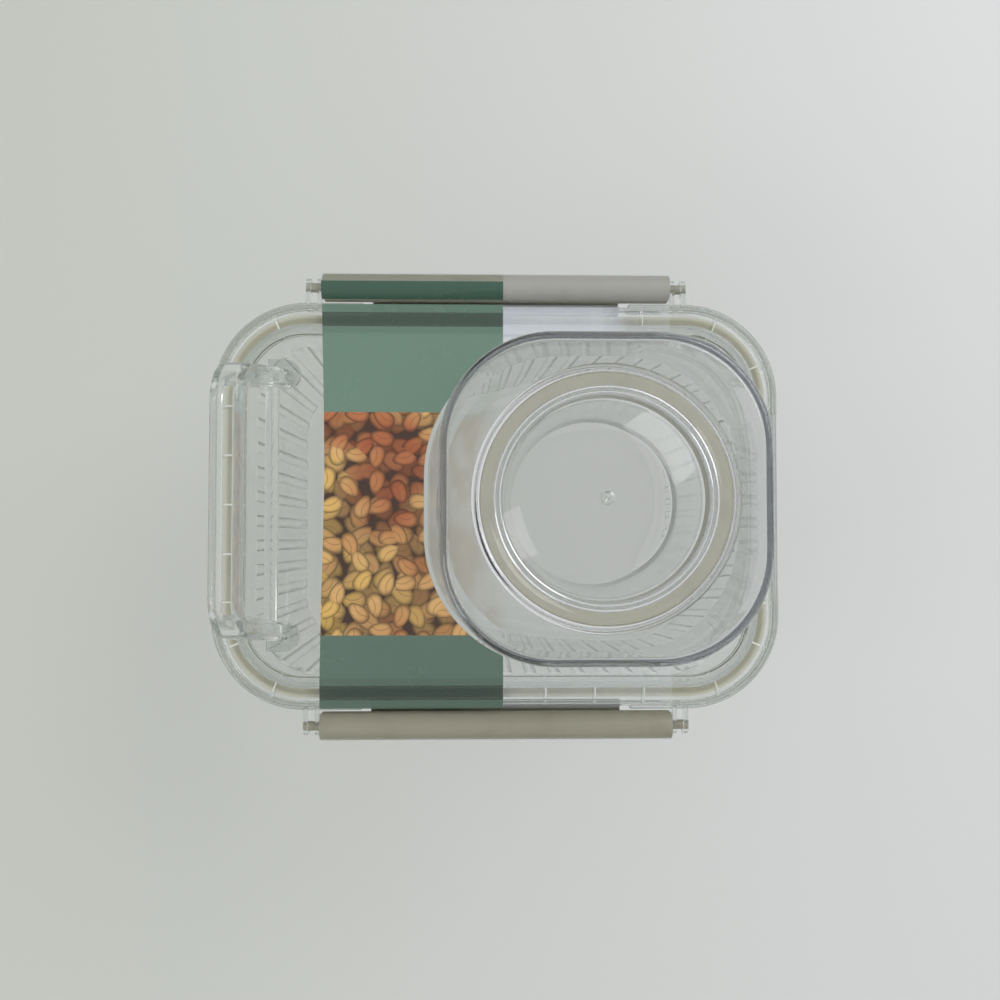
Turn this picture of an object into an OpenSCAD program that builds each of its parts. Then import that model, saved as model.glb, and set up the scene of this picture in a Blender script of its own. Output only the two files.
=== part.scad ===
// Clear rice and grain keeper: a fluted tub, a latching lid with a carry handle
// and a tall pour neck, and a measuring cup that closes the neck upside down.
// Millimetres, +Z up, origin at the middle of the tub's base.

/* [Outline] */
// Length of the lid, along X
lid_length = 182; // [160:1:210]
// Depth of the lid over its rim, along Y
lid_depth = 130.6; // [124:0.2:150]
// Corner radius of the lid
lid_corner = 30; // [28:1:34]
// Height of the lid's top edge above the base
lid_top = 145; // [125:1:200]

/* [Tub] */
// Distance of the tub's wall inside the lid's edge
tub_inset = 4.5; // [4.2:0.1:4.8]
// Wall thickness of the tub
tub_wall = 2.0; // [1.6:0.1:2.2]
// Floor thickness of the tub
tub_floor = 2.4; // [2:0.1:3]
// Draft of the tub's walls, in degrees
tub_draft = 1.5; // [1:0.1:2]
// Radius of the round between the base and the walls
base_round = 8.5; // [6:0.5:10]
// Flutes on each long side
flutes_long = 14; // [10:1:18]
// Flutes on each short side
flutes_short = 8; // [6:1:10]
// Flutes round each corner
flutes_corner = 4; // [3:1:5]
// Depth of a flute
flute_depth = 0.8; // [0.4:0.1:1]
// Radius of the groove between two flutes
flute_r = 3.2; // [2:0.1:5]
// Height of the flutes' upper ends
flute_top = 104; // [80:1:110]

/* [Lid] */
// Depth of the recessed panel below the lid's edge
panel_recess = 2; // [1:0.5:3]
// Thickness of the panel
panel_thick = 2; // [1.6:0.1:2.4]
// Spacing of the cross ribs over the gasket
rib_pitch = 15.7; // [10:0.1:25]

/* [Latches] */
// Length of a latch
latch_length = 112; // [100:1:114]
// Distance of the latch hinge outside the lid's edge
hinge_out = 5.2; // [5:0.1:6]
// Outer radius of the latch's barrel
barrel_r = 4.5; // [4:0.1:4.6]
// Radius of the hinge pins
pin_r = 1.5; // [1.2:0.1:1.7]
// Running clearance round the hinge pins
pin_play = 0.05; // [0.02:0.01:0.09]

/* [Neck and cup] */
// Centre of the pour neck, along X
neck_x = 28.4; // [27:0.2:28.4]
// Inner radius of the pour neck at its mouth
neck_bore_r = 28.3; // [26:0.1:28.6]
// Wall thickness of the neck
neck_wall = 1.8; // [1.6:0.1:2]
// Height of the closed cup above the lid's edge
cup_rise = 58; // [48:1:62]
// Half width of the cup's mouth
mouth_half = 50.5; // [50:0.1:50.8]
// Half width of the cup's flat end
crown_half = 45; // [42:0.5:46]
// Wall thickness of the cup
cup_wall = 2; // [1.6:0.1:2.4]

/* [Handle] */
// Distance of the handle's foot line from the middle
handle_x = 69.6; // [68:0.2:70.5]
// Height of the handle above the lid's edge
handle_rise = 54; // [40:1:58]
// Lean of the handle away from the middle, in degrees
handle_lean = 5; // [0:0.5:6]
// Half length of the grip over its rounded ends
grip_half = 38.5; // [36:0.5:40]
// Width of the grip
grip_width = 8.8; // [8:0.2:9.4]

/* [Label] */
// Left edge of the label film
label_left = -56.2; // [-56.2:0.2:-52]
// Thickness of the label film
film = 0.3; // [0.2:0.05:0.4]

/* [Hidden] */
$fn = 72;
eps = 0.01;

clear_plastic = [0.86, 0.90, 0.90, 0.45];
latch_plastic = [0.71, 0.69, 0.61];
silicone = [0.80, 0.77, 0.64];
print_green = [0.45, 0.60, 0.52];
clear_film = [0.92, 0.94, 0.94, 0.35];

// Every rim is swept about the same four corner centres, so the walls stay parallel
core_x = lid_length / 2 - lid_corner;
core_y = lid_depth / 2 - lid_corner;

// Radii of the walls about those centres
tub_top_r = lid_corner - tub_inset;
skirt_in_r = lid_corner - 1.8;
plug_out_r = lid_corner - 6.8;
plug_in_r = plug_out_r - 3.9;
plug_wall = 1.8;
seal_out_r = lid_corner - 3.6;
seal_in_r = plug_out_r + 0.2;

// Heights
panel_top = lid_top - panel_recess;
panel_under = panel_top - panel_thick;
skirt_foot = lid_top - 8.5;
plug_foot = lid_top - 10.5;
flange_top = skirt_foot - 0.3;
flange_foot = flange_top - 3.2;
tub_top = skirt_foot + 1.5;
channel_roof = panel_under + 0.2;
foot_rise = 0.8;

// Hinge axis of the back latch
hinge_y = lid_depth / 2 + hinge_out;
hinge_z = lid_top - 2.5;
lug_wall = 1.4;
lug_gap = 2.2;
lug_in = latch_length / 2 + 0.3;
lug_out = lug_in + 2 * lug_wall + lug_gap;
lug_r = 2.9;
slot_half = 43;

// Latch below its barrel
plate_thick = 2.2;
plate_out = hinge_y + barrel_r;
plate_in = plate_out - plate_thick;
plate_foot = lid_top - 23;
hook_top = flange_foot - 0.3;
hook_thick = 2.2;
hook_tip = lid_depth / 2 - 1.3;
hook_half = slot_half - 2;

// Neck and cup
neck_out_r = neck_bore_r + neck_wall;
neck_spread = 2;
cup_top = lid_top + cup_rise;
cup_foot = panel_top + 0.3;
crown_thick = 2.4;
crown_in = cup_top - crown_thick;
neck_top = crown_in - 1.4;
seat_z = neck_top - 6.4;
neck_foot_r = neck_out_r + neck_spread;
ring_in_r = neck_out_r + 4.5;
ring_out_r = ring_in_r + 1.4;

// Handle
arch_deep = 6.4;
bend_r = 12;
leg_spread = 7;
lower_bar_z = 9;
lower_bar_r = 2.2;
foot_y = 42;
foot_r = 4.65;

// Rounded rectangle with its sides at half_x and half_y
module rounded(half_x, half_y, r) {
    square([2 * half_x, 2 * (half_y - r)], center = true);
    square([2 * (half_x - r), 2 * half_y], center = true);
    for (sx = [-1, 1], sy = [-1, 1])
        translate([sx * (half_x - r), sy * (half_y - r)]) circle(r);
}

// Rounded rectangle about the shared corner centres
module rim_area(r) rounded(core_x + r, core_y + r, r);

// Carries a section, drawn as radius and height, round the shared corner centres
module around() {
    for (side = [0 : 3]) {
        across = side % 2 == 0 ? core_x : core_y;
        along = side % 2 == 0 ? core_y : core_x;
        rotate([0, 0, 90 * side]) {
            translate([across, along, 0]) rotate([90, 0, 0])
                linear_extrude(2 * along) children();
            translate([across, along, 0]) rotate_extrude(angle = 90) children();
        }
    }
}

// Rectangle of a section between two radii and two heights
module band(r1, r2, z1, z2) translate([r1, z1]) square([r2 - r1, z2 - z1]);

// Upright wall of a section with rounded top edges
module ridge(r1, r2, z1, z2, round) {
    band(r1, r2, z1, z2 - round);
    band(r1 + round, r2 - round, z1, z2);
    for (r = [r1 + round, r2 - round]) translate([r, z2 - round]) circle(round, $fn = 32);
}

// Tub: one wall section carried round, with grooves cut between its flutes

// Radius of the drafted wall at height z
function wall_r(z) = tub_top_r - (flange_foot - z) * tan(tub_draft);

// Area between the drafted wall and the core, inset all over by a wall's thickness
module wall_area(inset, z1, z2, round) {
    polygon(concat(
        [[0, z1], [wall_r(z1) - inset - round, z1]],
        [for (a = [9 : 9 : 81]) [wall_r(z1) - inset - round * (1 - sin(a)), z1 + round * (1 - cos(a))]],
        [[wall_r(z1 + round) - inset, z1 + round], [wall_r(z2) - inset, z2], [0, z2]]));
}

module tub_section() {
    difference() {
        wall_area(0, 0, flange_top, base_round);
        wall_area(tub_wall, tub_floor, flange_top + 1, base_round - tub_wall);
        band(-1, wall_r(0) - base_round - 6, -1, foot_rise);
    }
    band(tub_top_r - tub_wall, tub_top_r, flange_foot, tub_top);
    band(tub_top_r - eps, lid_corner, flange_top - 1.6, flange_top);
    band(lid_corner - 1.4, lid_corner, flange_foot, flange_top - 1);
    band(tub_top_r - eps, tub_top_r + 1.4, flange_foot, flange_top - 1);
}

// Groove with round ends, leaning with the wall
module groove() {
    run = flute_top - base_round - 2;
    translate([wall_r(base_round + 2) + flute_r - flute_depth, 0, base_round + 2])
        rotate([0, tub_draft, 0]) rotate_extrude($fn = 32) {
            square([flute_r, run]);
            intersection() {
                circle(flute_r);
                translate([0, -flute_r]) square([flute_r, flute_r]);
            }
            translate([0, run]) intersection() {
                circle(flute_r);
                square(flute_r);
            }
        }
}

module all_grooves() for (side = [0 : 3]) {
    across = side % 2 == 0 ? core_x : core_y;
    along = side % 2 == 0 ? core_y : core_x;
    count = side % 2 == 0 ? flutes_short : flutes_long;
    rotate([0, 0, 90 * side]) {
        for (i = [0 : count - 1])
            translate([across, along * (2 * (i + 0.5) / count - 1), 0]) groove();
        for (i = [0 : flutes_corner - 1])
            translate([across, along, 0]) rotate([0, 0, 90 * (i + 0.5) / flutes_corner]) groove();
    }
}

module tub_body() color(clear_plastic) difference() {
    union() {
        around() tub_section();
        translate([0, 0, foot_rise]) linear_extrude(tub_floor - foot_rise)
            square([2 * core_x + 2, 2 * core_y + 2], center = true);
    }
    all_grooves();
}

// Lid

module lid_rim_section() {
    band(skirt_in_r, lid_corner, skirt_foot, lid_top - 1.2);
    ridge(lid_corner - 2.6, lid_corner, channel_roof, lid_top, 1.2);
    band(plug_in_r, lid_corner - 1, channel_roof, panel_top);
    ridge(plug_in_r, plug_out_r, panel_under, lid_top, 1);
    band(plug_out_r - plug_wall, plug_out_r, plug_foot, panel_top);
    band(plug_in_r - 2, plug_in_r + eps, panel_under, panel_top);
}

// Round-topped ribs that cross the groove over the gasket
module lid_rib() {
    inner = plug_out_r - 1;
    translate([inner, 0, panel_top - 0.5]) rotate([90, 0, 90])
        linear_extrude(lid_corner - 1.4 - inner) {
            translate([-0.6, 0]) square([1.2, 1.6]);
            translate([0, 1.6]) circle(0.6, $fn = 24);
        }
}

module lid_ribs() {
    for (side = [0 : 3]) {
        across = side % 2 == 0 ? core_x : core_y;
        along = side % 2 == 0 ? core_y : core_x;
        count = floor(along / rib_pitch);
        rotate([0, 0, 90 * side]) {
            for (i = [-count : count]) translate([across, i * rib_pitch, 0]) lid_rib();
            for (a = [22.5, 67.5]) translate([across, along, 0]) rotate([0, 0, a]) lid_rib();
        }
    }
}

// Hinge lugs of one latch end, each end a pair of thin walls
module lug_pair() {
    root = lid_depth / 2 - 1.5;
    for (x = [lug_in, lug_out - lug_wall])
        translate([x, 0, 0]) rotate([90, 0, 90]) linear_extrude(lug_wall) {
            translate([hinge_y, hinge_z]) circle(lug_r);
            translate([root, hinge_z - lug_r]) square([hinge_y - root, 2 * lug_r]);
        }
}

module lid_shell() color(clear_plastic) difference() {
    union() {
        around() lid_rim_section();
        translate([0, 0, panel_under]) linear_extrude(panel_thick)
            rim_area(plug_in_r - 0.5);
        lid_ribs();
        for (my = [0, 1], mx = [0, 1]) mirror([mx, 0, 0]) mirror([0, my, 0]) lug_pair();
    }
    translate([neck_x, 0, panel_under - 1]) cylinder(r = neck_foot_r + 0.02, h = panel_thick + 2);
    for (s = [-1, 1]) {
        translate([0, s * hinge_y, hinge_z]) rotate([0, 90, 0])
            cylinder(r = pin_r + pin_play, h = 2 * lug_out + 2, center = true);
        translate([-slot_half, s > 0 ? lid_depth / 2 - 1.2 : -lid_depth / 2 - 0.8, skirt_foot - 1])
            cube([2 * slot_half, 2, 11]);
    }
    translate([lid_length / 2 - 2.2, -29.8, lid_top - 1.6]) cube([3, 59.6, 3]);
}

// Soft ring in the lid's channel, with two lips that meet the tub's rim
module lid_gasket() color(silicone) around() {
    band(seal_in_r, seal_out_r, tub_top + 1.2, channel_roof);
    for (r = [tub_top_r - tub_wall, tub_top_r - 0.8])
        band(r, r + 0.8, tub_top + 0.3, tub_top + 1.3);
}

// Pour neck with a drafted wall and a round lip, welded into the panel from below
module pour_neck() color(clear_plastic) translate([neck_x, 0, 0]) rotate_extrude() {
    foot = panel_under - 1.2;
    shoulder = panel_top + 0.5;
    lip = neck_top - neck_wall / 2;
    polygon([[neck_foot_r - neck_wall, foot], [neck_foot_r, foot], [neck_foot_r, shoulder],
             [neck_out_r, seat_z - 2], [neck_out_r, lip], [neck_bore_r, lip],
             [neck_bore_r, seat_z - 2], [neck_foot_r - neck_wall, shoulder]]);
    translate([neck_bore_r + neck_wall / 2, lip]) circle(neck_wall / 2, $fn = 32);
    band(neck_foot_r - eps, neck_foot_r + 2.2, foot, panel_under);
    band(neck_out_r - eps, neck_out_r + 2.4, seat_z - 1.6, seat_z);
}

// Soft ring near the neck's mouth, with two round lips
module neck_seal() color(silicone) translate([neck_x, 0, 0]) rotate_extrude() {
    difference() {
        union() {
            band(neck_out_r + 0.02, neck_out_r + 3.7, seat_z, neck_top - 1.2);
            for (z = [seat_z + 1.4, neck_top - 2.6])
                translate([neck_out_r + 3.7, z]) circle(0.7, $fn = 24);
        }
        band(neck_out_r - 1, neck_out_r + 0.02, seat_z - 1, neck_top + 1);
    }
}

// Measuring cup, upside down over the neck: a round mouth and a square crown
module cup_area(half, r) rounded(half, half, r, $fn = 64);

module cup_form(shrink, z_mouth, z_crown) hull() {
    translate([0, 0, z_mouth]) linear_extrude(eps)
        cup_area(mouth_half - shrink, mouth_half - 5.5 - shrink);
    for (step = [[0, 4.6], [0.8, 1.9], [2.2, 0.55], [4.4, 0]])
        translate([0, 0, z_crown - step[1] - eps]) linear_extrude(eps)
            cup_area(crown_half - shrink - step[0], 31 - shrink - step[0]);
}

module measuring_cup() color(clear_plastic) translate([neck_x, 0, 0]) {
    difference() {
        cup_form(0, cup_foot, cup_top);
        cup_form(cup_wall, cup_foot - 1, crown_in);
    }
    rotate_extrude() band(ring_in_r, ring_out_r, seat_z + 1, crown_in + 0.5);
}

// Handle: an arch of channel section, closed by a lower bar, on two feet

// Channel section, its back at x = 0 and its opening away from the arch's outside
module arch_section() difference() {
    translate([-arch_deep / 2, 0]) rounded(arch_deep / 2, grip_width / 2, 1.9, $fn = 32);
    translate([-arch_deep - 1, -grip_width / 2 + 2.1])
        square([arch_deep + 1 - 2.2, grip_width - 4.2]);
}

// Arch in its own plane: x across, y up, z through its width
module arch(rise) {
    straight = grip_half - bend_r;
    leg = (rise - bend_r + bend_r * sin(leg_spread)) / cos(leg_spread);
    translate([-straight - eps, rise, 0]) rotate([0, 90, 0]) rotate([0, 0, 90])
        linear_extrude(2 * (straight + eps)) arch_section();
    for (m = [0, 1]) mirror([m, 0, 0])
        translate([straight, rise - bend_r, 0]) rotate([0, 0, leg_spread]) {
            rotate_extrude(angle = 90 - leg_spread)
                translate([bend_r, 0]) arch_section();
            translate([bend_r, 0, 0]) rotate([90, 0, 0])
                linear_extrude(leg) arch_section();
        }
}

module carry_handle() color(clear_plastic) {
    rise = handle_rise + panel_recess;
    bar_half = grip_half + (rise - bend_r - lower_bar_z) * tan(leg_spread) - 1.2;
    difference() {
        union() {
            translate([-handle_x, 0, panel_top]) rotate([0, -handle_lean, 0])
                rotate([90, 0, 90]) {
                    arch(rise);
                    translate([0, lower_bar_z, 0]) rotate([0, 90, 0])
                        cylinder(r = lower_bar_r, h = 2 * bar_half, center = true);
                }
            for (s = [-1, 1]) translate([-handle_x, s * foot_y, panel_top])
                linear_extrude(2.2) {
                    translate([2, 0]) circle(foot_r);
                    translate([-3.6, -foot_r]) square([5.6, 2 * foot_r]);
                }
        }
        translate([-handle_x - 20, -60, panel_top - 20]) cube([40, 120, 20.02]);
    }
}

// Latches

// Outline of a latch, drawn as Y and Z about its hinge side
module latch_section() {
    difference() {
        translate([hinge_y, hinge_z]) circle(barrel_r, $fn = 64);
        translate([hinge_y, hinge_z]) circle(barrel_r - 2.2, $fn = 48);
        translate([hinge_y - 8, hinge_z - 8]) square([8, 6.4]);
        translate([hinge_y - 1, hinge_z - 8]) square([2.8, 8]);
    }
    translate([plate_in, plate_foot + 1]) square([plate_thick, hinge_z - plate_foot - 1]);
    translate([plate_in + 1.4, plate_foot + 1.3]) circle(1.3, $fn = 32);
}

module latch_one() color(latch_plastic) {
    half = latch_length / 2;
    intersection() {
        translate([-half, 0, 0]) rotate([90, 0, 90]) linear_extrude(latch_length) latch_section();
        translate([0, hinge_y, 0]) linear_extrude(lid_top + 20)
            rounded(half, barrel_r + 1, 2.6);
    }
    translate([-hook_half, hook_tip, hook_top - hook_thick])
        cube([2 * hook_half, plate_in - hook_tip + 0.5, hook_thick]);
    for (i = [-2 : 2])
        translate([i * (hook_half - 0.8) / 2 - 0.8, 0, 0]) rotate([90, 0, 90]) linear_extrude(1.6)
            polygon([[plate_in + 0.5, hook_top - 1], [hook_tip + 3, hook_top - 1],
                     [hook_tip + 3, hook_top - hook_thick - 0.5], [plate_in - 1, plate_foot + 4],
                     [plate_in + 0.5, plate_foot + 4]]);
    for (m = [0, 1]) mirror([m, 0, 0]) {
        translate([half - 5, hinge_y, hinge_z]) rotate([0, 90, 0])
            cylinder(r = barrel_r - 1, h = 3);
        translate([half - 5, hinge_y, hinge_z]) rotate([0, 90, 0])
            cylinder(r = pin_r, h = lug_out - half + 5);
    }
}

module latch_back() latch_one();
module latch_front() mirror([0, 1, 0]) latch_one();

// Label film: a sheet over the lid, cut round the cup, and a strip over each latch

module label_sleeve() color(print_green)
    translate([0, 0, lid_top + 0.02]) linear_extrude(film) difference() {
        translate([label_left, -lid_depth / 2 + 0.6])
            square([-2 * label_left, lid_depth - 1.2]);
        translate([neck_x, 0]) rounded(mouth_half + 1.2, mouth_half + 1.2, mouth_half - 4.3);
    }

module film_tab() {
    reach = lug_in - 0.05;
    translate([-reach, 0, 0]) rotate([90, 0, 90]) linear_extrude(2 * reach) {
        difference() {
            translate([hinge_y, hinge_z]) circle(barrel_r + 0.02 + film, $fn = 64);
            translate([hinge_y, hinge_z]) circle(barrel_r + 0.02, $fn = 64);
            translate([hinge_y - 9, hinge_z - 9]) square([18, 9]);
            translate([hinge_y - 9, hinge_z - 1]) square([9, 3.4]);
        }
        translate([plate_out + 0.02, plate_foot + 6]) square([film, hinge_z - plate_foot - 6]);
    }
}

module label_tab_back() color(print_green) film_tab();
module label_tab_front() color(clear_film) mirror([0, 1, 0]) film_tab();

tub_body();
lid_shell();
lid_gasket();
pour_neck();
neck_seal();
carry_handle();
latch_back();
latch_front();
measuring_cup();
label_sleeve();
label_tab_back();
label_tab_front();
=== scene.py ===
# Clear rice and grain keeper: looks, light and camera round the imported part.
import math
import bpy
from mathutils import Matrix, Vector


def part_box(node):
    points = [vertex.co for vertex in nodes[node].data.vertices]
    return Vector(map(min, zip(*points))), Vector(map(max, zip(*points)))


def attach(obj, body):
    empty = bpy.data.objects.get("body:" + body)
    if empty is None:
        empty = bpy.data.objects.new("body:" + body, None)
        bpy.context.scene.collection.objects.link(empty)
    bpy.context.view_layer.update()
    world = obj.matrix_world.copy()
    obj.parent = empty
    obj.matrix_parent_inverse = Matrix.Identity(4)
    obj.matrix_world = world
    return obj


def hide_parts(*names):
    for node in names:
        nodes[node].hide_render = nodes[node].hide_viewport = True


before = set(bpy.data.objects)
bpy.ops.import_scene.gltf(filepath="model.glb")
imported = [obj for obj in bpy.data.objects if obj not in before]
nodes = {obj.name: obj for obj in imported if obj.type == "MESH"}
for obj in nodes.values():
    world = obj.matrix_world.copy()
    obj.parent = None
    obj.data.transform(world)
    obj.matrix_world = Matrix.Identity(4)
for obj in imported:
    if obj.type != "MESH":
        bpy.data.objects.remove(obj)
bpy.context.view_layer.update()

scene = bpy.context.scene
MM = 0.001

tub_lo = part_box("tub_body")[0]
lid_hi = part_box("lid_shell")[1]
cup_lo, cup_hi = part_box("measuring_cup")
seal_lo, seal_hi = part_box("neck_seal")
sleeve_lo, sleeve_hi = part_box("label_sleeve")
latch_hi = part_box("latch_back")[1]
lid_edge = sleeve_lo.z - 0.02 * MM
cup_x = (cup_lo.x + cup_hi.x) / 2


# Camera, at the photograph's viewpoint: nearly straight above the lid
def place_camera():
    data = bpy.data.cameras.new("camera")
    data.sensor_width = 36
    data.lens = 37.4
    data.clip_start = 0.01
    data.clip_end = 50
    camera = bpy.data.objects.new("camera", data)
    scene.collection.objects.link(camera)
    scene.camera = camera
    above_lid = 333 * MM
    eye = Vector((-7.2 * MM, -10.8 * MM, lid_edge + above_lid))
    aim = Vector((1.1 * MM, 1.6 * MM, lid_edge))
    back = (eye - aim).normalized()
    side = Vector((0, 1, 0)).cross(back).normalized()
    up = back.cross(side)
    camera.location = eye
    camera.rotation_mode = "QUATERNION"
    camera.rotation_quaternion = Matrix((side, up, back)).transposed().to_quaternion()


# Modelling helpers
def only(obj):
    """Leaves one object selected and active, in object mode."""
    if bpy.context.object and bpy.context.object.mode != "OBJECT":
        bpy.ops.object.mode_set(mode="OBJECT")
    bpy.ops.object.select_all(action="DESELECT")
    obj.select_set(True)
    bpy.context.view_layer.objects.active = obj


def settle(obj):
    """Puts the object's place into its mesh."""
    only(obj)
    bpy.ops.object.transform_apply(location=True, rotation=True, scale=True)


def smooth(obj, degrees):
    """Smooth shading that keeps edges sharper than this angle."""
    only(obj)
    bpy.ops.object.shade_smooth_by_angle(angle=math.radians(degrees))


def apply_all(obj):
    """Applies the object's modifiers in their order."""
    only(obj)
    for modifier in list(obj.modifiers):
        bpy.ops.object.modifier_apply(modifier=modifier.name)


def rounded_face(half_x, half_y, radius, x, z, steps):
    """Flat rounded rectangle as one face."""
    bpy.ops.object.select_all(action="DESELECT")
    bpy.ops.mesh.primitive_plane_add(size=2, location=(x, 0, z))
    obj = bpy.context.object
    obj.scale = (half_x, half_y, 1)
    settle(obj)
    bpy.ops.object.mode_set(mode="EDIT")
    bpy.ops.mesh.select_all(action="SELECT")
    bpy.ops.mesh.bevel(offset=radius, segments=steps, affect="VERTICES")
    bpy.ops.object.mode_set(mode="OBJECT")
    return obj


def loft(name, rows, x, steps):
    """Closed shell through a row of rounded rectangles (half_x, half_y, radius, z)."""
    # Stacked well apart while they are bridged, so that rings in one plane can't cross
    gap = 0.02
    faces = []
    for i, (half_x, half_y, radius, _) in enumerate(rows):
        face = rounded_face(half_x, half_y, radius, x, i * gap, steps)
        mark = face.data.attributes.new("row", "INT", "POINT")
        mark.data.foreach_set("value", [i] * len(face.data.vertices))
        if 0 < i < len(rows) - 1:
            bpy.ops.object.mode_set(mode="EDIT")
            bpy.ops.mesh.select_all(action="SELECT")
            bpy.ops.mesh.delete(type="ONLY_FACE")
            bpy.ops.object.mode_set(mode="OBJECT")
        faces.append(face)
    bpy.ops.object.select_all(action="DESELECT")
    for face in faces:
        face.select_set(True)
    shell = faces[0]
    bpy.context.view_layer.objects.active = shell
    bpy.ops.object.join()
    shell.name = shell.data.name = name
    row = [0] * len(shell.data.vertices)
    shell.data.attributes["row"].data.foreach_get("value", row)
    for i in range(len(rows) - 1):
        mesh = shell.data
        for v in mesh.vertices:
            v.select = row[v.index] in (i, i + 1)
        for e in mesh.edges:
            a, b = e.vertices
            e.select = row[a] == row[b] and row[a] in (i, i + 1)
        for p in mesh.polygons:
            p.select = False
        bpy.ops.object.mode_set(mode="EDIT")
        bpy.ops.mesh.select_mode(type="EDGE")
        bpy.ops.mesh.bridge_edge_loops()
        bpy.ops.object.mode_set(mode="OBJECT")
    for v in shell.data.vertices:
        v.co.z = rows[row[v.index]][3]
    shell.data.attributes.remove(shell.data.attributes["row"])
    bpy.ops.object.mode_set(mode="EDIT")
    bpy.ops.mesh.select_mode(type="VERT")
    bpy.ops.mesh.select_all(action="SELECT")
    bpy.ops.mesh.remove_doubles(threshold=1e-6)
    bpy.ops.mesh.normals_make_consistent(inside=False)
    bpy.ops.object.mode_set(mode="OBJECT")
    return shell


# Node helpers
def material(name):
    """New material with its node tree and shader."""
    mat = bpy.data.materials.new(name)
    mat.use_nodes = True
    return mat, mat.node_tree, mat.node_tree.nodes["Principled BSDF"]


def add(tree, kind, **sockets):
    """New node with some of its sockets set by name."""
    node = tree.nodes.new("ShaderNode" + kind)
    for key, value in sockets.items():
        node.inputs[key.replace("_", " ")].default_value = value
    return node


def math_node(tree, operation, a, b=None, c=None):
    """Result of a sum on sockets or plain numbers."""
    node = tree.nodes.new("ShaderNodeMath")
    node.operation = operation
    for socket, value in zip(node.inputs, (a, b, c)):
        if value is None:
            continue
        if isinstance(value, (int, float)):
            socket.default_value = value
        else:
            tree.links.new(value, socket)
    return node.outputs[0]


def times(tree, a, b):
    return math_node(tree, "MULTIPLY", a, b)


def distance(tree, a, b):
    """Length of the flat vector (a, b)."""
    return math_node(tree, "SQRT", math_node(tree, "MULTIPLY_ADD", a, a, times(tree, b, b)))


def beyond(tree, value, core):
    """How far a value lies beyond a core, and 0 inside it."""
    return math_node(tree, "MAXIMUM", math_node(tree, "SUBTRACT", value, core), 0.0)


def ranged(tree, value, low, high, start=0.0, end=1.0, soft=False):
    """Value spread from start-end to low-high."""
    node = tree.nodes.new("ShaderNodeMapRange")
    if soft:
        node.interpolation_type = "SMOOTHSTEP"
    node.inputs["From Min"].default_value = start
    node.inputs["From Max"].default_value = end
    node.inputs["To Min"].default_value = low
    node.inputs["To Max"].default_value = high
    tree.links.new(value, node.inputs["Value"])
    return node.outputs[0]


def blend(tree, mask, below, above, mode="MIX"):
    """Mix of two colours, each a socket or a plain colour."""
    node = tree.nodes.new("ShaderNodeMix")
    node.data_type = "RGBA"
    node.blend_type = mode
    for index, value in ((0, mask), (6, below), (7, above)):
        if isinstance(value, tuple):
            node.inputs[index].default_value = (*value, 1)
        elif isinstance(value, (int, float)):
            node.inputs[index].default_value = value
        else:
            tree.links.new(value, node.inputs[index])
    return node.outputs[2]


def colour_ramp(tree, stops):
    """Ramp through (place, colour) stops."""
    node = tree.nodes.new("ShaderNodeValToRGB")
    while len(node.color_ramp.elements) < len(stops):
        node.color_ramp.elements.new(0.5)
    for element, (place, colour) in zip(node.color_ramp.elements, stops):
        element.position = place
        element.color = (*colour, 1)
    return node


def vector_math(tree, operation, a):
    """Vector sum with its first socket linked."""
    node = tree.nodes.new("ShaderNodeVectorMath")
    node.operation = operation
    tree.links.new(a, node.inputs[0])
    return node


def relief(tree, height, strength, distance_m, bsdf):
    """Bump of a height on the shader's normal."""
    bump = add(tree, "Bump", Strength=strength, Distance=distance_m)
    tree.links.new(height, bump.inputs["Height"])
    tree.links.new(bump.outputs[0], bsdf.inputs["Normal"])


def object_coordinates(tree):
    return tree.nodes.new("ShaderNodeTexCoord").outputs["Object"]


def split(tree, vector):
    """The x, y and z of a vector."""
    node = tree.nodes.new("ShaderNodeSeparateXYZ")
    tree.links.new(vector, node.inputs[0])
    return node.outputs


def use_group(tree, group, vector, **values):
    """A shader node group placed in a tree, with its own values."""
    node = tree.nodes.new("ShaderNodeGroup")
    node.node_tree = group
    tree.links.new(vector, node.inputs["Vector"])
    for key, value in values.items():
        node.inputs[key.replace("_", " ")].default_value = value
    return node


def new_group(name, inputs, outputs):
    """Empty group; inputs and outputs are (name, kind, value) rows."""
    group = bpy.data.node_groups.new(name, "ShaderNodeTree")
    for way, sockets in (("INPUT", inputs), ("OUTPUT", outputs)):
        for label, kind, value in sockets:
            socket = group.interface.new_socket(label, in_out=way, socket_type="NodeSocket" + kind)
            if value is not None:
                socket.default_value = value
    inside = group.nodes.new("NodeGroupInput")
    outside = group.nodes.new("NodeGroupOutput")
    return group, inside, outside


# Handling marks: faint smudges and fine texture, as masks between 0 and 1 and a height
def make_handling_group():
    group, inside, outside = new_group(
        "handling_marks",
        (("Vector", "Vector", None), ("Smudge Size", "Float", 60.0), ("Fine Size", "Float", 900.0)),
        (("Smudge", "Float", None), ("Fine", "Float", None), ("Height", "Float", None)))
    link = group.links.new
    smudge = add(group, "TexNoise", Detail=3.0, Roughness=0.55, Distortion=0.4)
    fine = add(group, "TexNoise", Detail=2.0, Roughness=0.6)
    for texture, size in ((smudge, "Smudge Size"), (fine, "Fine Size")):
        link(inside.outputs["Vector"], texture.inputs["Vector"])
        link(inside.outputs[size], texture.inputs["Scale"])
    link(ranged(group, smudge.outputs[0], 0, 1, 0.48, 0.68, soft=True), outside.inputs["Smudge"])
    link(fine.outputs[0], outside.inputs["Fine"])
    height = math_node(group, "MULTIPLY_ADD", fine.outputs[0], 0.12, smudge.outputs[0])
    link(height, outside.inputs["Height"])
    return group


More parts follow.
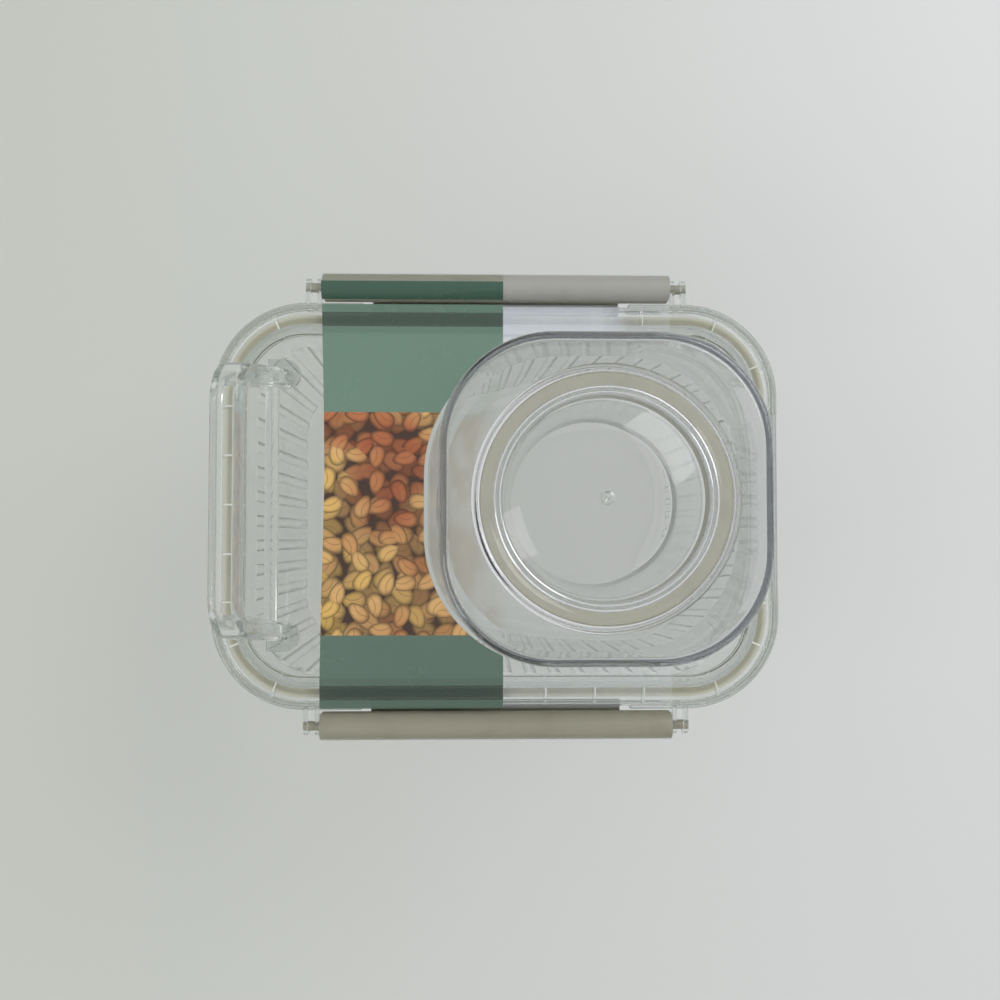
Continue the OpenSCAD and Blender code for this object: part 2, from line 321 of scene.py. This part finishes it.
# One layer of scattered oval grains, each turned its own way, as masks and a random value
def make_grain_group():
    group, inside, outside = new_group(
        "grain_layer",
        (("Vector", "Vector", None), ("Size", "Float", 120.0), ("Slim", "Float", 1.5),
         ("Radius", "Float", 0.42)),
        (("Cover", "Float", None), ("Round", "Float", None), ("Pick", "Float", None),
         ("Seam", "Float", None)))
    link = group.links.new
    cells = add(group, "TexVoronoi", Randomness=0.8)
    cells.voronoi_dimensions = "2D"
    link(inside.outputs["Vector"], cells.inputs["Vector"])
    link(inside.outputs["Size"], cells.inputs["Scale"])
    apart = vector_math(group, "SUBTRACT", inside.outputs["Vector"])
    link(cells.outputs["Position"], apart.inputs[1])
    flat = vector_math(group, "MULTIPLY", apart.outputs[0])
    flat.inputs[1].default_value = (1, 1, 0)
    grown = vector_math(group, "SCALE", flat.outputs[0])
    link(inside.outputs["Size"], grown.inputs["Scale"])
    chance = group.nodes.new("ShaderNodeSeparateColor")
    link(cells.outputs["Color"], chance.inputs[0])
    turn = group.nodes.new("ShaderNodeVectorRotate")
    turn.rotation_type = "Z_AXIS"
    link(grown.outputs[0], turn.inputs["Vector"])
    link(times(group, chance.outputs[0], math.tau), turn.inputs["Angle"])
    along, across = split(group, turn.outputs[0])[:2]
    # An egg shape: one end is fuller than the other
    egg = math_node(group, "MULTIPLY_ADD", along, 0.5, 1.0)
    slimmed = times(group, times(group, across, inside.outputs["Slim"]), egg)
    reach = math_node(group, "DIVIDE", distance(group, slimmed, along), inside.outputs["Radius"])
    link(ranged(group, reach, 1, 0, 0.96, 1.02), outside.inputs["Cover"])
    link(math_node(group, "SUBTRACT", 1.0, times(group, reach, reach)), outside.inputs["Round"])
    link(chance.outputs[1], outside.inputs["Pick"])
    # A shallow curve from end to end
    seam = math_node(group, "ABSOLUTE", math_node(group, "MULTIPLY_ADD", along, along, across))
    link(ranged(group, seam, 1, 0, 0.012, 0.03), outside.inputs["Seam"])
    return group


handling = make_handling_group()
grain_layer = make_grain_group()


# Clear plastics: their colours and their greys where they are thick, with the colours of a painted
# shadow and a painted highlight
CLEAR = (0.985, 0.992, 0.99)
CLOUDY = (0.79, 0.81, 0.80)
TUB_TINT = (0.95, 0.954, 0.942)
TUB_EDGE_HIGHLIGHT = (1.0, 1.0, 1.0)
CUP_TINT = (0.96, 0.963, 0.963)
# Brown and green of the print's painted shadow
BROWN_PRINT_SHADOW = (0.84, 0.77, 0.69)
GREEN_PRINT_SHADOW = (0.80, 0.85, 0.81)
VIOLET_GREY = (0.16, 0.19, 0.27)
GREEN_GREY = (0.16, 0.24, 0.19)


def clear_plastic(name, ior, rough, wave, density, grey=GREEN_GREY, tint=CLEAR):
    """Clear moulding: faint waves and smudges, grey with depth; lamps reach what is behind it."""
    mat, tree, bsdf = material(name)
    out = tree.nodes["Material Output"]
    link = tree.links.new
    marks = use_group(tree, handling, object_coordinates(tree))
    bsdf.inputs["Base Color"].default_value = (*tint, 1)
    bsdf.inputs["Transmission Weight"].default_value = 1
    bsdf.inputs["IOR"].default_value = ior
    link(ranged(tree, marks.outputs["Smudge"], *rough), bsdf.inputs["Roughness"])
    relief(tree, marks.outputs["Height"], wave, 0.4 * MM, bsdf)
    path = tree.nodes.new("ShaderNodeLightPath")
    shadow = path.outputs["Is Shadow Ray"]
    either = math_node(tree, "MAXIMUM", shadow, path.outputs["Is Diffuse Ray"])
    open_air = add(tree, "BsdfTransparent", Color=(0.985, 0.985, 0.985, 1))
    mix = tree.nodes.new("ShaderNodeMixShader")
    link(either, mix.inputs[0])
    link(bsdf.outputs[0], mix.inputs[1])
    link(open_air.outputs[0], mix.inputs[2])
    link(mix.outputs[0], out.inputs["Surface"])
    if density:
        inside = add(tree, "VolumeAbsorption", Color=(*grey, 1), Density=density)
        link(inside.outputs[0], out.inputs["Volume"])
    return mat


tub_clear = clear_plastic("tub_clear", 1.07, (0.1, 0.18), 0.04, 12.0, tint=TUB_TINT)
lid_clear = clear_plastic("lid_clear", 1.49, (0.01, 0.04), 0.012, 29.0)
neck_clear = clear_plastic("neck_clear", 1.2, (0.09, 0.14), 0.012, 4.0)
cup_clear = clear_plastic("cup_clear", 1.49, (0.006, 0.03), 0.012, 19.0, VIOLET_GREY, CUP_TINT)
handle_clear = clear_plastic("handle_clear", 1.42, (0.006, 0.03), 0.012, 9.0)
film_clear = clear_plastic("film_clear", 1.2, (0.03, 0.1), 0.2, 0.0)


def tint_where(mat, mask, plain, tint):
    """Gives the material another colour where the mask is 1."""
    tree = mat.node_tree
    colour = blend(tree, mask, plain, tint)
    tree.links.new(colour, tree.nodes["Principled BSDF"].inputs["Base Color"])


def cloud_feet(mat):
    """Makes the handle's flat feet a little cloudy."""
    tree = mat.node_tree
    foot_top = 145.5 * MM
    z = split(tree, object_coordinates(tree))[2]
    foot = ranged(tree, z, 1, 0, foot_top - 0.1 * MM, foot_top + 0.1 * MM)
    tint_where(mat, foot, CLEAR, CLOUDY)


def paint_print_shadow(mat):
    """Painted shadow of the print: a faint, blotchy tint on the panel, from the neck to the cup's
    wall.
    """
    tree = mat.node_tree
    vector = object_coordinates(tree)
    x, y = split(tree, vector)[:2]
    from_axis = distance(tree, math_node(tree, "SUBTRACT", x, cup_x), y)
    ring_middle = 42.5 * MM
    ring_half = 7.0 * MM
    ring = math_node(tree, "COMPARE", from_axis, ring_middle, ring_half)
    blotch = add(tree, "TexNoise", Scale=95.0, Detail=1.5)
    tree.links.new(vector, blotch.inputs["Vector"])
    strength = ranged(tree, blotch.outputs[0], 0.45, 1.0, 0.4, 0.62, soft=True)
    strength = times(tree, strength, ranged(tree, x, 1, 0, -4 * MM, 4 * MM))
    behind = ranged(tree, y, 0, 1, 27 * MM, 32 * MM)
    tint = blend(tree, behind, BROWN_PRINT_SHADOW, GREEN_PRINT_SHADOW)
    # The print's painted shadow, brown in front and green behind, on the left of the ring
    tint_where(mat, times(tree, ring, strength), CLEAR, tint)


def paint_base_edge_highlight(mat):
    """Painted highlight: the tub is whiter in the ring where its base turns up into the wall."""
    tree = mat.node_tree
    x, y, z = split(tree, object_coordinates(tree))
    base_turn = 15 * MM
    half_band = 2.2 * MM
    past_x = beyond(tree, math_node(tree, "ABSOLUTE", x), 60 * MM)
    past_y = beyond(tree, math_node(tree, "ABSOLUTE", y), 35 * MM)
    ring = math_node(tree, "COMPARE", distance(tree, past_x, past_y), base_turn, half_band)
    low = ranged(tree, z, 1, 0, 8 * MM, 10 * MM)
    # The whiter ring at the base edge is a painted highlight
    tint_where(mat, times(tree, ring, low), TUB_TINT, TUB_EDGE_HIGHLIGHT)


cloud_feet(handle_clear)
paint_print_shadow(lid_clear)
paint_base_edge_highlight(tub_clear)


# Moulded latch plastic and silicone
def moulded(name, colour, shade, rough, grain, size):
    """Opaque moulded plastic or rubber with fine texture and uneven gloss."""
    mat, tree, bsdf = material(name)
    marks = use_group(tree, handling, object_coordinates(tree), Smudge_Size=90.0, Fine_Size=size)
    tone = blend(tree, marks.outputs["Smudge"], colour, shade)
    tree.links.new(tone, bsdf.inputs["Base Color"])
    tree.links.new(ranged(tree, marks.outputs["Fine"], *rough), bsdf.inputs["Roughness"])
    relief(tree, marks.outputs["Fine"], grain, 0.2 * MM, bsdf)
    return mat


def satin(name, colour, shade):
    """Satin plastic of the latches."""
    return moulded(name, colour, shade, (0.32, 0.5), 0.25, 2500.0)


def silicone(name, colour, shade):
    """Soft silicone that light enters a little."""
    mat = moulded(name, colour, shade, (0.4, 0.6), 0.2, 1500.0)
    bsdf = mat.node_tree.nodes["Principled BSDF"]
    bsdf.inputs["Subsurface Weight"].default_value = 0.3
    bsdf.inputs["Subsurface Radius"].default_value = (1.0, 0.8, 0.5)
    bsdf.inputs["Subsurface Scale"].default_value = 2 * MM
    return mat


def gasket_masks(tree):
    """Two masks: the lid's cross ribs over the gasket, and the gasket's outer side."""
    x, y = split(tree, object_coordinates(tree))[:2]
    pitch = 15.7 * MM
    half_rib = 0.35 * MM
    corner = 30 * MM
    core_x = lid_hi.x - corner
    core_y = sleeve_hi.y + 0.6 * MM - corner
    ring = 25 * MM

    def near(value, place, reach):
        return math_node(tree, "COMPARE", value, place, reach)

    out_x = math_node(tree, "ABSOLUTE", x)
    out_y = math_node(tree, "ABSOLUTE", y)
    along_x = near(math_node(tree, "PINGPONG", x, pitch / 2), 0.0, half_rib)
    along_y = near(math_node(tree, "PINGPONG", y, pitch / 2), 0.0, half_rib)
    on_long = times(tree, along_x, math_node(tree, "LESS_THAN", out_x, core_x - 8 * MM))
    on_short = times(tree, along_y, math_node(tree, "LESS_THAN", out_y, core_y))
    turn = math_node(tree, "ARCTAN2", math_node(tree, "SUBTRACT", out_y, core_y),
                     math_node(tree, "SUBTRACT", out_x, core_x))
    first = near(turn, math.radians(22.5), half_rib / ring)
    second = near(turn, math.radians(67.5), half_rib / ring)
    on_corner = math_node(tree, "MAXIMUM", first, second)
    ribs = math_node(tree, "MAXIMUM", math_node(tree, "MAXIMUM", on_long, on_short), on_corner)
    reach = distance(tree, beyond(tree, out_x, core_x), beyond(tree, out_y, core_y))
    outer = ranged(tree, reach, 0, 1, ring, ring + 0.8 * MM)
    return ribs, outer


def ribbed_gasket():
    """Olive silicone, cream at its outer side, with painted glints as pale bars where the lid's
    ribs cross it.
    """
    cream = (0.54, 0.54, 0.44)
    rib_glint = (0.82, 0.83, 0.76)
    mat = silicone("gasket_olive", (0.37, 0.36, 0.26), (0.33, 0.32, 0.23))
    tree = mat.node_tree
    olive = tree.nodes["Principled BSDF"].inputs["Base Color"].links[0].from_socket
    ribs, outer = gasket_masks(tree)
    # The pale bars over the ribs are painted glints
    tint_where(mat, ribs, blend(tree, outer, olive, cream), rib_glint)
    return mat


greige_back = satin("greige_back", (0.32, 0.315, 0.255), (0.29, 0.285, 0.23))
# The front latch gets a darker copy of the back latch's greige: painted shade
greige_front_shaded = satin("greige_front_shaded", (0.285, 0.27, 0.20), (0.26, 0.245, 0.18))
gasket_olive = ribbed_gasket()
seal_beige = silicone("seal_beige", (0.40, 0.40, 0.315), (0.37, 0.37, 0.29))


# Label print
def grain_picture(tree, vector):
    """Generic pile of oval grains: three layers, the upper ones over the lower."""
    link = tree.links.new
    picture = (0.055, 0.025, 0.015)
    seam_brown = (0.16, 0.07, 0.04)
    shades = ((0.0, (0.34, 0.08, 0.025)), (0.28, (0.47, 0.165, 0.06)), (0.5, (0.58, 0.30, 0.105)),
              (0.72, (0.69, 0.415, 0.155)), (1.0, (0.74, 0.48, 0.11)))
    # Each layer's size, slimness, radius, shift and light, from the lowest up
    layers = ((150.0, 1.35, 0.62, (0.013, 0.004, 0), 0.45),
              (138.0, 1.5, 0.58, (0.041, 0.027, 0), 0.75),
              (128.0, 1.6, 0.52, (0.087, 0.052, 0), 1.0))
    zones = add(tree, "TexNoise", Scale=26.0, Detail=1.0)
    link(vector, zones.inputs["Vector"])
    for size, slim, radius, offset, light in layers:
        moved = add(tree, "Mapping")
        moved.inputs["Location"].default_value = offset
        link(vector, moved.inputs["Vector"])
        grains = use_group(tree, grain_layer, moved.outputs[0], Size=size, Slim=slim, Radius=radius)
        ramp = colour_ramp(tree, shades)
        kind = times(tree, grains.outputs["Pick"], 0.35)
        drift = ranged(tree, zones.outputs[0], 0.0, 0.75, 0.32, 0.68)
        link(math_node(tree, "ADD", kind, drift), ramp.inputs[0])
        rounding = ranged(tree, grains.outputs["Round"], 0.28 * light, light, 0.0, 0.75, soft=True)
        body = blend(tree, 1, ramp.outputs[0], rounding, "MULTIPLY")
        body = blend(tree, times(tree, grains.outputs["Seam"], 0.5), body, seam_brown)
        picture = blend(tree, grains.outputs["Cover"], picture, body)
    return picture


def label_print(name):
    """Printed film: a green band, grains and a green band, clear to the right of the middle."""
    mat, tree, bsdf = material(name)
    link = tree.links.new
    vector = object_coordinates(tree)
    x, y = split(tree, vector)[:2]
    top_green = (0.145, 0.26, 0.195)
    latch_green = (0.05, 0.12, 0.08)
    bottom_green = (0.10, 0.175, 0.13)
    milk = (0.80, 0.86, 0.95)
    picture_front = -41.6 * MM
    picture_back = 29.8 * MM
    print_right = 2.0 * MM
    gasket_line = 59.8 * MM

    def above(place):
        return ranged(tree, y, 0, 1, place - 0.1 * MM, place + 0.1 * MM)

    over_bottom = above(picture_front)
    over_picture = above(picture_back)
    colour = blend(tree, over_bottom, bottom_green, grain_picture(tree, vector))
    colour = blend(tree, over_picture, colour, top_green)
    # Painted shade: the ink is darker over the lid's rim, and darkest where the gasket backs it
    out_y = math_node(tree, "ABSOLUTE", y)
    gasket = math_node(tree, "COMPARE", out_y, gasket_line, 2.3 * MM)
    gasket_shade = ranged(tree, gasket, 1.0, 0.4)
    rim = ranged(tree, out_y, 1.0, 0.84, 55.0 * MM, 55.6 * MM)
    colour = blend(tree, 1, colour, gasket_shade, "MULTIPLY")
    colour = blend(tree, 1, colour, rim, "MULTIPLY")
    colour = blend(tree, above(lid_hi.y - 8 * MM), colour, latch_green)
    # Right of the print the film is clear, a little milky over the back rim
    printed = ranged(tree, x, 1, 0, print_right, print_right + 0.2 * MM)
    link(blend(tree, printed, milk, colour), bsdf.inputs["Base Color"])
    # Ink hides what lies under it more over the picture than over the green bands
    ink = ranged(tree, over_bottom, 0.78, 0.97)
    ink = math_node(tree, "MULTIPLY_ADD", over_picture, -0.19, ink)
    # The print stops short of the latch's outer edge
    print_end = latch_hi.y - 3.7 * MM
    ink = times(tree, ink, ranged(tree, y, 1, 0, print_end - 0.1 * MM, print_end + 0.1 * MM))
    rim_only = times(tree, above(52 * MM), ranged(tree, y, 1, 0, 63 * MM, 65 * MM))
    milky = times(tree, rim_only, ranged(tree, x, 0.3, 0, 34 * MM, 46 * MM))
    bare = math_node(tree, "MAXIMUM", milky, 0.06)
    cover = math_node(tree, "MAXIMUM", times(tree, ink, printed), bare)
    # The print shows only faintly mirrored in the clear walls beside it
    path = tree.nodes.new("ShaderNodeLightPath")
    mirrored = ranged(tree, path.outputs["Is Glossy Ray"], 1.0, 0.2)
    link(times(tree, cover, mirrored), bsdf.inputs["Alpha"])
    marks = use_group(tree, handling, vector, Smudge_Size=70.0, Fine_Size=600.0)
    link(ranged(tree, marks.outputs["Smudge"], 0.16, 0.3), bsdf.inputs["Roughness"])
    relief(tree, marks.outputs["Height"], 0.2, 0.4 * MM, bsdf)
    return mat


printed_film = label_print("printed_film")


# Measuring cup: one lofted shell, with a bead at its mouth and two rings under its crown
def build_cup():
    top = cup_hi.z
    foot = cup_lo.z
    mouth = (cup_hi.x - cup_lo.x) / 2
    mouth_corner = mouth - 9.5 * MM
    crown = mouth - 5.5 * MM
    crown_corner = 31 * MM
    wall = 2 * MM
    under = top - 2.4 * MM
    face = top - 0.15 * MM
    outer_round = 2.0 * MM
    inner_round = 0.8 * MM
    rows = []

    def circles(level, rings):
        """Rounds at heights above a level, as (radius, rise)."""
        for radius, rise in rings:
            rows.append((radius, radius, radius * 0.9995, level + rise))

    def square(half, radius, z):
        rows.append((half, half, radius, z))

    # Gate mark in the middle of the crown
    circles(face, ((0.3 * MM, 0.1 * MM), (0.8 * MM, -0.8 * MM), (1.4 * MM, -0.8 * MM),
                   (1.9 * MM, 0.12 * MM), (2.3 * MM, 0.12 * MM), (2.6 * MM, 0)))
    # Crown and its rounded edge
    flat = outer_round + 1 * MM
    square(crown - flat, crown_corner - flat, face)
    for i in range(9):
        a = math.radians(90 * i / 8)
        inset = outer_round * (1 - math.sin(a))
        square(crown - inset, crown_corner - inset, face - outer_round * (1 - math.cos(a)))
    # Bead round the mouth, then up the inside to the crown
    square(mouth - 0.25 * MM, mouth_corner - 0.2 * MM, foot + 1.6 * MM)
    square(mouth, mouth_corner, foot + 0.8 * MM)
    square(mouth - 0.1 * MM, mouth_corner - 0.1 * MM, foot + 0.2 * MM)
    square(mouth - 0.5 * MM, mouth_corner - 0.5 * MM, foot)
    square(mouth - wall + 0.3 * MM, mouth_corner - wall, foot)
    square(mouth - wall, mouth_corner - 0.1 * MM - wall, foot + 0.4 * MM)
    for i in range(6):
        a = math.radians(90 * i / 5)
        inset = wall + inner_round * (1 - math.cos(a))
        square(crown - inset, crown_corner - inset, under - inner_round * (1 - math.sin(a)))
    # Ring that hugs the neck's soft seal
    ring_in = (seal_hi.x - seal_lo.x) / 2 + 0.1 * MM
    ring_out = ring_in + 1.4 * MM
    ring_foot = seal_lo.z + 1 * MM
    circles(under, ((ring_out + 0.4 * MM, 0), (ring_out, -0.4 * MM)))
    circles(ring_foot, ((ring_out - 0.1 * MM, 0.3 * MM), (ring_out - 0.4 * MM, 0),
                        (ring_in + 0.4 * MM, 0), (ring_in + 0.1 * MM, 0.3 * MM)))
    circles(under, ((ring_in, -0.4 * MM), (ring_in - 0.4 * MM, 0)))
    # Shallow bead over the neck's lip
    circles(under, ((30.7 * MM, 0), (30.3 * MM, -0.3 * MM), (30.2 * MM, -0.8 * MM),
                    (29.9 * MM, -1.1 * MM), (28.8 * MM, -1.1 * MM), (28.5 * MM, -0.8 * MM),
                    (28.4 * MM, -0.3 * MM), (28.0 * MM, 0), (4 * MM, 0)))
    cup = loft("cup_shell", rows, x=cup_x, steps=20)
    smooth(cup, 40)
    cup.data.materials.append(cup_clear)
    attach(cup, "cup")
    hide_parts("measuring_cup")


# Label film: a thin sheet that lies on the lid's edges and sags a little between them
def build_label():
    cell = 2.4 * MM
    width = sleeve_hi.x - sleeve_lo.x
    depth = sleeve_hi.y - sleeve_lo.y
    bpy.ops.object.select_all(action="DESELECT")
    bpy.ops.mesh.primitive_grid_add(x_subdivisions=round(width / cell),
                                    y_subdivisions=round(depth / cell), size=1)
    film = bpy.context.object
    film.name = film.data.name = "label_film"
    film.scale = (width, depth, 1)
    film.location = ((sleeve_lo.x + sleeve_hi.x) / 2, 0, sleeve_lo.z)
    settle(film)
    # Cut out round the cup
    hole = 51.7 * MM
    turn = hole - 9.5 * MM
    ends = tuple((hole, hole, turn, lid_edge + side * 20 * MM) for side in (-1, 1))
    cutter = loft("cutter", ends, x=cup_x, steps=24)
    only(film)
    cut = film.modifiers.new("cut", "BOOLEAN")
    cut.operation = "DIFFERENCE"
    cut.solver = "EXACT"
    cut.object = cutter
    apply_all(film)
    bpy.data.objects.remove(cutter)
    # Sag and gentle waves, none of them where the film rests on the edges
    rest = depth / 2 - 12 * MM
    for v in film.data.vertices:
        free = max(0.0, 1 - (abs(v.co.y) / rest) ** 4)
        wave = 0.5 + 0.5 * math.sin(v.co.x * 95 + 2.2 * math.sin(v.co.y * 70))
        ripple = 0.5 + 0.5 * math.sin(v.co.y * 210 + 1.7 * math.sin(v.co.x * 160))
        v.co.z -= free * (0.35 * wave + 0.18 * ripple) * MM
        # The left edge wanders a little
        nearness = max(0.0, -v.co.x / (56 * MM)) ** 6
        v.co.x += nearness * (0.5 + 0.5 * math.sin(v.co.y * 48 + 1.1)) * MM
    thick = film.modifiers.new("thickness", "SOLIDIFY")
    thick.thickness = 0.12 * MM
    thick.offset = 1
    apply_all(film)
    smooth(film, 30)
    film.data.materials.append(printed_film)
    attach(film, "lid")
    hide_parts("label_sleeve")


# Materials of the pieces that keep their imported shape
def paint_nodes():
    finishes = {"tub_body": tub_clear, "lid_shell": lid_clear, "pour_neck": neck_clear,
                "carry_handle": handle_clear, "lid_gasket": gasket_olive,
                "neck_seal": seal_beige, "latch_back": greige_back,
                "latch_front": greige_front_shaded, "label_tab_back": printed_film,
                "label_tab_front": film_clear}
    for name, mat in finishes.items():
        nodes[name].data.materials.clear()
        nodes[name].data.materials.append(mat)


# Pale floor with painted shade: a little warmer and darker to the left, as in the photograph
def lay_floor():
    bpy.ops.object.select_all(action="DESELECT")
    bpy.ops.mesh.primitive_plane_add(size=6, location=(0, 0, tub_lo.z - 0.2 * MM))
    floor = bpy.context.object
    floor.name = "floor"
    mat, tree, bsdf = material("pale_table")
    shaded_warm = (0.555, 0.58, 0.53)
    lit_cool = (0.665, 0.68, 0.68)
    across = ranged(tree, split(tree, object_coordinates(tree))[0], 0, 1, -0.22, 0.22)
    tint_where(mat, across, shaded_warm, lit_cool)
    bsdf.inputs["Roughness"].default_value = 0.55
    floor.data.materials.append(mat)


# Even white room, dimmer towards the horizon so that clear edges show
def light_room():
    world = bpy.data.worlds.new("studio")
    scene.world = world
    world.use_nodes = True
    tree = world.node_tree
    sky = tree.nodes["Background"]
    z = split(tree, tree.nodes.new("ShaderNodeTexCoord").outputs["Generated"])[2]
    levels = ((0.0, 0.5), (0.25, 0.6), (0.6, 0.95), (1.0, 1.0))
    ramp = colour_ramp(tree, [(place, (level, level, level)) for place, level in levels])
    tree.links.new(z, ramp.inputs[0])
    tree.links.new(ramp.outputs[0], sky.inputs["Color"])
    sky.inputs["Strength"].default_value = 0.78


def soft_box(name, place, width, height, power):
    """Rectangular lamp turned to the keeper."""
    target = Vector((0, 0, 0.1))
    data = bpy.data.lights.new(name, "AREA")
    data.shape = "RECTANGLE"
    data.size = width
    data.size_y = height
    data.energy = power
    lamp = bpy.data.objects.new(name, data)
    scene.collection.objects.link(lamp)
    lamp.location = place
    lamp.rotation_mode = "QUATERNION"
    lamp.rotation_quaternion = (target - Vector(place)).to_track_quat("-Z", "Y")


place_camera()
build_cup()
build_label()
paint_nodes()
lay_floor()
light_room()
soft_box("window", (0.9, 0.7, 1.1), 0.9, 0.7, 7)
soft_box("fill", (-0.9, -0.4, 1.0), 0.6, 0.6, 3)

scene.view_settings.view_transform = "Standard"
# Enough bounces for a look through several clear walls
scene.cycles.max_bounces = 32
scene.cycles.transmission_bounces = 32
scene.cycles.glossy_bounces = 32
scene.cycles.diffuse_bounces = 3
scene.cycles.transparent_max_bounces = 32
